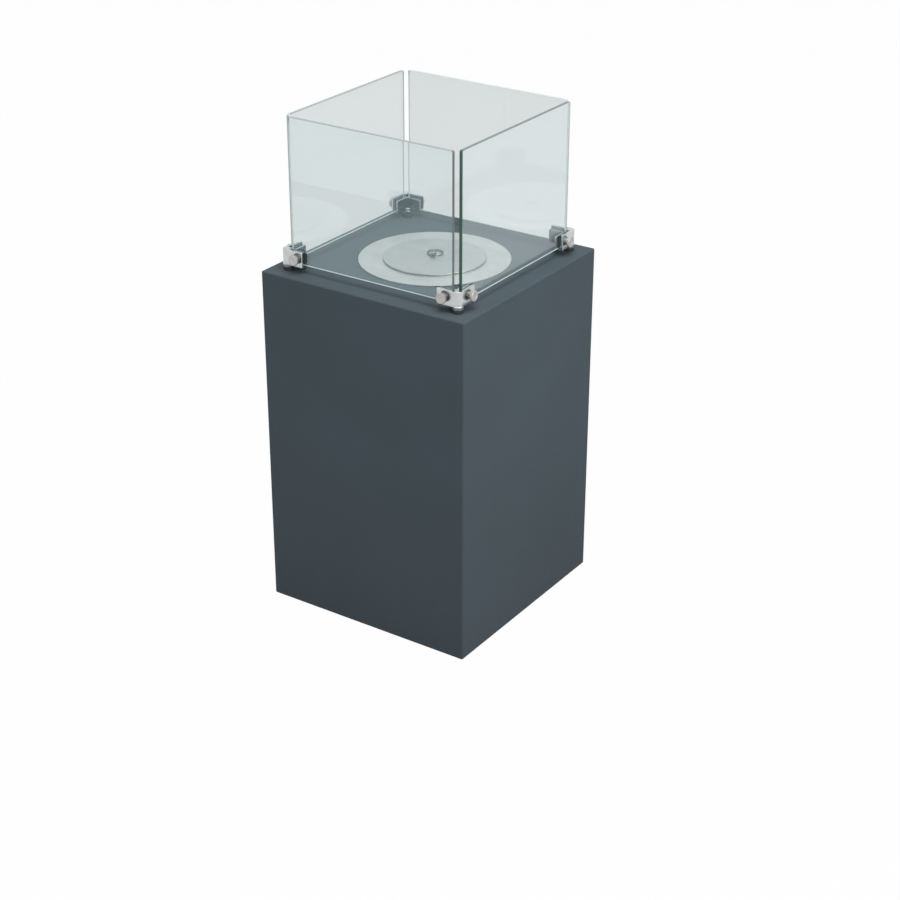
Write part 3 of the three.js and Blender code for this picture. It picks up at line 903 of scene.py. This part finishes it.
def make_thumbscrew(corner, wing):
    name = corner + "_" + wing
    rows = []
    low, high = WING_INNER, WING_OUTER + FIT
    count = int((high - low) / (THUMB_PITCH / 6))
    for row in range(count + 1):
        rows.append((THREAD_RADIUS, low + (high - low) * row / count))
    thread = helix(THUMB_PITCH, THREAD_DEPTH, THREAD_RADIUS)
    shank = lathe("shank", [(0, low)] + rows + [(0, high)], 36, warp=thread)
    collar = lathe(
        "collar",
        rounded(
            [
                (0, high),
                (COLLAR_RADIUS, high),
                (COLLAR_RADIUS, high + 1.6),
                (COLLAR_RADIUS - 0.7, high + 2.2),
                (COLLAR_RADIUS - 0.7, HEAD_INNER),
                (HEAD_RADIUS, HEAD_INNER),
                (HEAD_RADIUS, HEAD_INNER + 0.5),
            ],
            [0, 0.4, 0.2, 0.2, 0.5, 0.45, 0],
            4,
            closed=False,
        )[:-1]
        + [(HEAD_RADIUS, HEAD_INNER + 0.6), (HEAD_RADIUS, HEAD_OUTER - 0.9)]
        + rounded(
            [
                (HEAD_RADIUS, HEAD_OUTER - 0.8),
                (HEAD_RADIUS, HEAD_OUTER - 0.45),
                (HEAD_RADIUS - 0.6, HEAD_OUTER),
                (5.2, HEAD_OUTER),
                (4.9, HEAD_OUTER - 0.25),
                (1.3, HEAD_OUTER - 0.25),
                (0.9, HEAD_OUTER - 0.6),
                (0, HEAD_OUTER - 0.6),
            ],
            [0, 0.15, 0.25, 0.12, 0.12, 0.2, 0.1, 0],
            3,
            closed=False,
        ),
        192,
        warp=knurl(KNURL_RIBS, KNURL_DEPTH, HEAD_INNER + 0.55, HEAD_OUTER - 0.7, HEAD_RADIUS - 0.05),
    )
    screw = joined("thumb_" + name, [outward(shank), outward(collar)])
    moved(screw, screw_place(corner, wing), MM)
    finished(screw, "thumbscrew_" + name, [THUMB_STEEL], 32)


def make_fixing(corner):
    seat = CLAMP_FLOOR + FIT
    top = seat + FIXING_HEAD_HEIGHT
    rows = []
    thread_top = -2.0
    count = int((thread_top - FIXING_TAIL - 0.5) / (FIXING_PITCH / 5))
    for row in range(count + 1):
        rows.append((FIXING_RADIUS, FIXING_TAIL + 0.5 + (thread_top - FIXING_TAIL - 0.5) * row / count))
    profile = (
        [(0, FIXING_TAIL), (FIXING_RADIUS - 0.55, FIXING_TAIL)]
        + rows
        + [(FIXING_RADIUS - 0.02, thread_top + 0.4), (FIXING_RADIUS - 0.02, seat)]
        + rounded(
            [
                (FIXING_RADIUS, seat),
                (FIXING_HEAD_RADIUS, seat),
                (FIXING_HEAD_RADIUS, top - 0.8),
                (FIXING_HEAD_RADIUS - 0.8, top),
                (0, top),
            ],
            [0, 0.25, 0.5, 0.5, 0],
            4,
            closed=False,
        )
    )
    thread = helix(FIXING_PITCH, THREAD_DEPTH, FIXING_RADIUS)
    screw = lathe("clamp_screw_" + corner, profile, 48, warp=thread)
    socket = slab("socket", hexagon(SOCKET_ACROSS_FLATS), top - SOCKET_DEPTH, top + 1.0, 0.15, 1)
    combine(screw, [socket], "DIFFERENCE")
    place = corner_place(corner) @ shift(-FIXING_PLACE, FIXING_PLACE, 0)
    moved(screw, place, MM)
    finished(screw, "fixing_screw_" + corner, [BRIGHT_STEEL], 32)

    outline = rounded(hexagon(NUT_ACROSS_FLATS), 0.5, 3)
    body = slab("clamp_nut_" + corner, outline, NUT_TOP - NUT_HEIGHT, NUT_TOP - 0.4, 0.35, 3)
    flange_profile = rounded(
        [
            (0, NUT_TOP - NUT_FLANGE - 0.5),
            (4.2, NUT_TOP - NUT_FLANGE - 0.5),
            (NUT_FLANGE_RADIUS, NUT_TOP - 0.7),
            (NUT_FLANGE_RADIUS, NUT_TOP),
            (0, NUT_TOP),
        ],
        [0, 0.3, 0.25, 0.15, 0],
        3,
    )
    flange = lathe("flange", flange_profile, 64)
    combine(body, [flange], "UNION")
    bore = drill(FIXING_RADIUS + FIT, NUT_TOP - NUT_HEIGHT - 2, NUT_TOP + 2)
    combine(body, [bore], "DIFFERENCE")
    moved(body, place, MM)
    finished(body, "fixing_nut_" + corner, [ZINC_STEEL], 32)


# ---------------------------------------------------------------- burner


def burner_place():
    return shift(BURNER_RIGHT, BURNER_BACK, 0)


def mark_rim(piece, radius):
    """Gives the cut edge at this radius the second material, a duller steel that is painted darker for
    shade.
    """
    for face in piece.data.polygons:
        if math.hypot(face.center.x, face.center.y) > radius - RIM_BEVEL:
            face.material_index = 1


def make_can():
    inside = CAN_RADIUS - CAN_WALL
    floor = CAN_BOTTOM + CAN_WALL
    profile = rounded(
        [
            (0, CAN_BOTTOM),
            (CAN_RADIUS, CAN_BOTTOM),
            (CAN_RADIUS, FLANGE_BOTTOM),
            (FLANGE_RADIUS, FLANGE_BOTTOM),
            (FLANGE_RADIUS, FLANGE_TOP),
            (MOUTH_RADIUS, FLANGE_TOP),
            (MOUTH_RADIUS, FLANGE_BOTTOM),
            (inside, FLANGE_BOTTOM),
            (inside, floor),
            (0, floor),
        ],
        [0, 4.0, 0.6, 0.5, 0.7, 0.8, 0.5, 0.8, 2.8, 0],
        6,
    )
    can = lathe("burner_tray", profile, 224)
    mark_rim(can, FLANGE_RADIUS)
    moved(can, burner_place(), MM)
    finished(can, "burner_can", [BURNER_STEEL, RIM_AND_FOOT_SHADE_STEEL])


def make_wool():
    random.seed(5)
    profile = rounded(
        [(0, WOOL_BOTTOM), (WOOL_RADIUS, WOOL_BOTTOM), (WOOL_RADIUS, WOOL_TOP - 0.4), (0, WOOL_TOP - 0.4)],
        [0, 4, 5, 0],
        6,
    )
    dense = []
    for (r0, z0), (r1, z1) in zip(profile, profile[1:]):
        parts = max(1, int(math.hypot(r1 - r0, z1 - z0) / 3.0))
        dense += [(r0 + (r1 - r0) * k / parts, z0 + (z1 - z0) * k / parts) for k in range(parts)]
    dense.append(profile[-1])
    wool = lathe("fibre_wool", dense, 144)
    for vertex in wool.data.vertices:
        radial = math.hypot(vertex.co.x, vertex.co.y)
        sink = random.random() * WOOL_SINK
        near_top = vertex.co.z > WOOL_TOP - WOOL_TOP_SKIN
        if near_top or radial > WOOL_RADIUS - WOOL_SIDE_SKIN:
            scale = 1 - sink / max(radial, 20)
            vertex.co.x *= scale
            vertex.co.y *= scale
            vertex.co.z -= sink if near_top else 0
    moved(wool, burner_place(), MM)
    finished(wool, "ceramic_wool", [WOOL], 80)


def make_screen():
    """A perforated disc, filled from flat curves and given its thickness."""
    curve = bpy.data.curves.new("burner_screen", "CURVE")
    curve.dimensions = "2D"
    curve.fill_mode = "BOTH"
    curve.extrude = (SCREEN_TOP - SCREEN_BOTTOM) / 2 - 0.1
    curve.bevel_depth = 0.1
    curve.bevel_resolution = 1

    def ring(x, y, radius, count):
        spline = curve.splines.new("POLY")
        spline.points.add(count - 1)
        for point, (dx, dy) in zip(spline.points, circle(radius, count)):
            point.co = (x + dx, y + dy, 0, 1)
        spline.use_cyclic_u = True

    ring(0, 0, WOOL_RADIUS - 0.1, 160)
    row_height = SCREEN_PITCH * math.sqrt(3) / 2
    limit = WOOL_RADIUS - SCREEN_RIM - SCREEN_HOLE_RADIUS
    rows = int(limit / row_height)
    for row in range(-rows, rows + 1):
        start = SCREEN_PITCH / 2 if row % 2 else 0.0
        columns = int(limit / SCREEN_PITCH) + 1
        for column in range(-columns, columns + 1):
            x, y = column * SCREEN_PITCH + start, row * row_height
            if math.hypot(x, y) <= limit:
                ring(x, y, SCREEN_HOLE_RADIUS, 12)
    flat = bpy.data.objects.new("burner_screen_curve", curve)
    bpy.context.scene.collection.objects.link(flat)
    bpy.context.view_layer.update()
    mesh = bpy.data.meshes.new_from_object(flat.evaluated_get(bpy.context.evaluated_depsgraph_get()))
    bpy.data.objects.remove(flat)
    shape = bmesh.new()
    shape.from_mesh(mesh)
    bmesh.ops.remove_doubles(shape, verts=shape.verts, dist=0.01)
    shape.to_mesh(mesh)
    shape.free()
    screen = bpy.data.objects.new("burner_screen", mesh)
    bpy.context.scene.collection.objects.link(screen)
    moved(screen, shift(0, 0, (SCREEN_TOP + SCREEN_BOTTOM) / 2), burner_place(), MM)
    finished(screen, "wool_screen", [BURNER_STEEL])


# ---------------------------------------------------------------- lid


def make_lid():
    profile = rounded(
        [
            (0, LID_BOTTOM),
            (GUIDE_INNER, LID_BOTTOM),
            (GUIDE_INNER, GUIDE_BOTTOM),
            (GUIDE_OUTER, GUIDE_BOTTOM),
            (GUIDE_OUTER, LID_BOTTOM),
            (LID_RADIUS, LID_BOTTOM),
            (LID_RADIUS, LID_TOP),
            (0, LID_TOP),
        ],
        [0, 0.3, 0.3, 0.3, 0.3, 0.5, 0.7, 0],
        5,
    )
    lid = lathe("burner_cover", profile, 224)
    mark_rim(lid, LID_RADIUS)
    moved(lid, burner_place(), MM)
    finished(lid, "burner_lid", [LID_STEEL, RIM_AND_FOOT_SHADE_STEEL])


def handle_place():
    return burner_place() @ shift(0, 0, LID_TOP) @ turn(HANDLE_TURN)


def make_clip():
    outer = CLIP_INNER + CLIP_THICKNESS
    crown = CLIP_HEIGHT - outer
    base = FIT
    path = [(-outer - CLIP_FOOT, base), (-CLIP_INNER, base), (-CLIP_INNER, crown)]
    steps = 12
    for step in range(1, steps):
        angle = math.pi - math.pi * step / steps
        path.append((CLIP_INNER * math.cos(angle), crown + CLIP_INNER * math.sin(angle)))
    path += [(CLIP_INNER, crown), (CLIP_INNER, base), (outer + CLIP_FOOT, base)]
    path += [(outer + CLIP_FOOT, base + CLIP_THICKNESS), (outer, base + CLIP_THICKNESS), (outer, crown)]
    for step in range(1, 2 * steps):
        angle = math.pi * step / (2 * steps)
        path.append((outer * math.cos(angle), crown + outer * math.sin(angle)))
    path += [(-outer, crown), (-outer, base + CLIP_THICKNESS), (-outer - CLIP_FOOT, base + CLIP_THICKNESS)]
    clip = slab("handle_strip", path, -CLIP_WIDTH / 2, CLIP_WIDTH / 2, 0.15, 2)
    moved(clip, turn(90, "X"), turn(90), handle_place(), MM)
    finished(clip, "handle_clip", [RING_STEEL], 50)


def make_ring():
    profile = []
    for x, y in circle(WIRE_RADIUS, 20):
        profile.append((RING_RADIUS + x, y))

    def seam(radius, height, angle):
        """The joint that closes the ring shows as a shallow groove, opposite the clip."""
        away = abs(angle - math.pi / 2)
        return RING_RADIUS + (radius - RING_RADIUS) * (1 - 0.06 * math.exp(-((away * 12) ** 2)))

    ring = lathe("pull_ring", profile, 128, closed=True, warp=seam)
    moved(ring, shift(0, RING_RADIUS, FIT + WIRE_RADIUS), handle_place(), MM)
    finished(ring, "lid_ring", [RING_STEEL], 60)


make_pedestal()
make_glides()
make_panes()
for corner_name in CORNERS:
    make_clamp(corner_name)
    make_foot_rubber(corner_name)
    make_inner_rubber(corner_name)
    make_fixing(corner_name)
    for wing_name in WINGS:
        make_outer_rubber(corner_name, wing_name)
        make_pad(corner_name, wing_name)
        make_thumbscrew(corner_name, wing_name)
make_can()
make_wool()
make_screen()
make_lid()
make_clip()
make_ring()


# ---------------------------------------------------------------- stage

FLOOR_REACH = 9.0  # metres from the middle to each edge of the floor
FLOOR_TONE = 0.45  # the floor's grey, where light falls on it
FLOOR_WHITE = 0.985  # the share of plain white in what is seen of the floor
SEEN_THROUGH_GLASS = 0.67  # how much of the stage's own white shows through the glass
SKY_STRENGTH = 0.42
CAMERA_PLACE = (1.51431, -2.18718, 1.54787)
CAMERA_TURN = (63.5614, -0.0521, 34.1055)  # degrees
CAMERA_LENS = 77.709


def seen_directly(nodes, links):
    """1 for rays from the camera and from gloss, less through glass, and 0 for those that carry light."""
    path = nodes.new("ShaderNodeLightPath")
    either = nodes.new("ShaderNodeMath")
    either.operation = "MAXIMUM"
    links.new(path.outputs["Is Camera Ray"], either.inputs[0])
    links.new(path.outputs["Is Glossy Ray"], either.inputs[1])
    through = nodes.new("ShaderNodeMapRange")
    through.inputs["To Min"].default_value = 1.0
    through.inputs["To Max"].default_value = SEEN_THROUGH_GLASS
    links.new(path.outputs["Is Transmission Ray"], through.inputs["Value"])
    both = nodes.new("ShaderNodeMath")
    both.operation = "MULTIPLY"
    links.new(either.outputs["Value"], both.inputs[0])
    links.new(through.outputs["Result"], both.inputs[1])
    return both.outputs["Value"]


def make_floor():
    corners = [(x * FLOOR_REACH, y * FLOOR_REACH, 0) for x, y in ((-1, -1), (1, -1), (1, 1), (-1, 1))]
    floor = mesh_object("studio_floor", corners, [(0, 1, 2, 3)])
    material = bpy.data.materials.new("studio_floor")
    material.use_nodes = True
    nodes, links = material.node_tree.nodes, material.node_tree.links
    surface = nodes["Principled BSDF"]
    surface.inputs["Base Color"].default_value = (FLOOR_TONE, FLOOR_TONE, FLOOR_TONE, 1)
    surface.inputs["Roughness"].default_value = 0.9
    surface.inputs["Specular IOR Level"].default_value = 0.0
    glow = nodes.new("ShaderNodeEmission")
    glow.inputs["Strength"].default_value = 1.0
    share = nodes.new("ShaderNodeMath")
    share.operation = "MULTIPLY"
    share.inputs[1].default_value = FLOOR_WHITE
    links.new(seen_directly(nodes, links), share.inputs[0])
    mix = nodes.new("ShaderNodeMixShader")
    links.new(share.outputs["Value"], mix.inputs["Fac"])
    links.new(surface.outputs["BSDF"], mix.inputs[1])
    links.new(glow.outputs["Emission"], mix.inputs[2])
    clear = nodes.new("ShaderNodeBsdfTransparent")
    geometry = nodes.new("ShaderNodeNewGeometry")
    below = nodes.new("ShaderNodeMixShader")
    links.new(geometry.outputs["Backfacing"], below.inputs["Fac"])
    links.new(mix.outputs["Shader"], below.inputs[1])
    links.new(clear.outputs["BSDF"], below.inputs[2])
    links.new(below.outputs["Shader"], nodes["Material Output"].inputs["Surface"])
    floor.data.materials.append(material)


def make_world():
    world = bpy.data.worlds.new("studio")
    world.use_nodes = True
    nodes, links = world.node_tree.nodes, world.node_tree.links
    light = nodes["Background"]
    light.inputs["Color"].default_value = (0.96, 0.98, 1.0, 1)
    light.inputs["Strength"].default_value = SKY_STRENGTH
    seen = nodes.new("ShaderNodeBackground")
    seen.inputs["Color"].default_value = (1, 1, 1, 1)
    seen.inputs["Strength"].default_value = 1.0
    mix = nodes.new("ShaderNodeMixShader")
    links.new(seen_directly(nodes, links), mix.inputs["Fac"])
    links.new(light.outputs["Background"], mix.inputs[1])
    links.new(seen.outputs["Background"], mix.inputs[2])
    links.new(mix.outputs["Shader"], nodes["World Output"].inputs["Surface"])
    bpy.context.scene.world = world


def area_lamp(name, place, target, size, watts):
    data = bpy.data.lights.new(name, "AREA")
    data.shape = "DISK"
    data.size = size
    data.energy = watts
    lamp = bpy.data.objects.new(name, data)
    lamp.location = place
    lamp.rotation_euler = (Vector(target) - Vector(place)).to_track_quat("-Z", "Y").to_euler()
    bpy.context.scene.collection.objects.link(lamp)


def make_camera():
    data = bpy.data.cameras.new("camera")
    data.sensor_width = 36.0
    data.lens = CAMERA_LENS
    data.clip_start, data.clip_end = 0.05, 60.0
    camera = bpy.data.objects.new("camera", data)
    camera.location = CAMERA_PLACE
    camera.rotation_euler = Euler([math.radians(angle) for angle in CAMERA_TURN], "XYZ")
    bpy.context.scene.collection.objects.link(camera)
    bpy.context.scene.camera = camera


make_floor()
make_world()
area_lamp("overhead", place=(0.4, -0.2, 2.6), target=(0, 0, 0.5), size=1.8, watts=32)
area_lamp("right_key", place=(2.5, -0.6, 1.8), target=(0, 0, 0.4), size=1.6, watts=38)
area_lamp("left_fill", place=(-1.2, -2.6, 1.3), target=(0, 0, 0.4), size=1.8, watts=8)
make_camera()
bpy.context.scene.view_settings.view_transform = "Standard"
